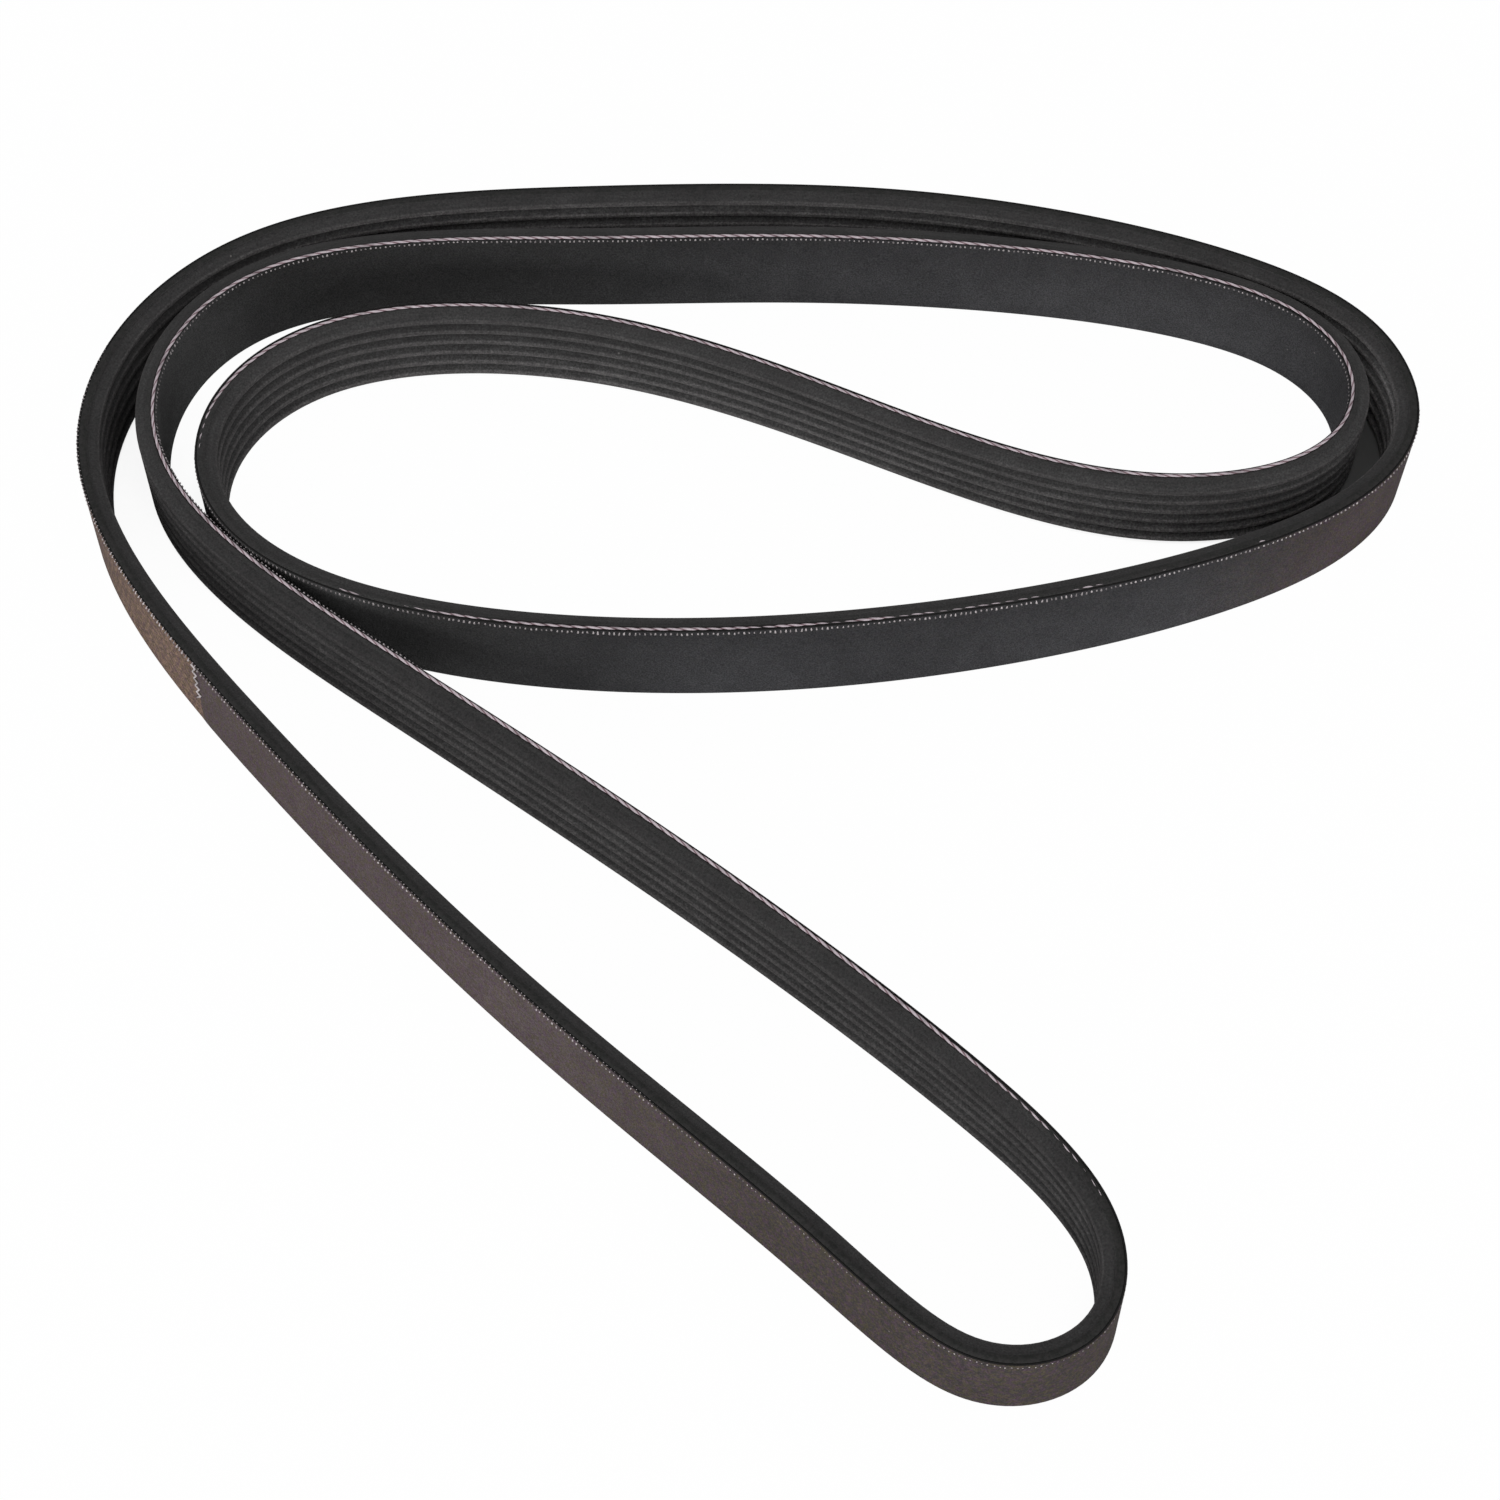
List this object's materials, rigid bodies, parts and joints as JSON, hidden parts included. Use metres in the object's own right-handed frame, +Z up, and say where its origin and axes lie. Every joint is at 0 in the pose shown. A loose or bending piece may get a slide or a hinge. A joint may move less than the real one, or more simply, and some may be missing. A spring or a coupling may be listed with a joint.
{
  "type": "ribbed drive belt",
  "caption": "Endless flat drive belt with ribs along its inner face and a smooth fabric back, laid in loose loops on its cut edge.",
  "frame": {"origin": "middle of the laid belt's outline on the floor, at the height of the cut edge it stands on", "axes": "+Z up across the belt's width, +Y away from the front hairpin, +X to the right along the longest side of the outline"},
  "size_m": [0.2838, 0.2716, 0.0216],
  "materials": {
    "rubber": "matt black moulded rubber with a fine sandy grain on the ribs and the cut edges",
    "fabric": "fine twill rubbed full of rubber, smooth and charcoal grey, browner along the front run",
    "cord": "pale pinkish twisted fibre, dull, bared by the cut"
  },
  "bodies": {
    "root": {"belt": "rubber"}
  },
  "joints": []
}
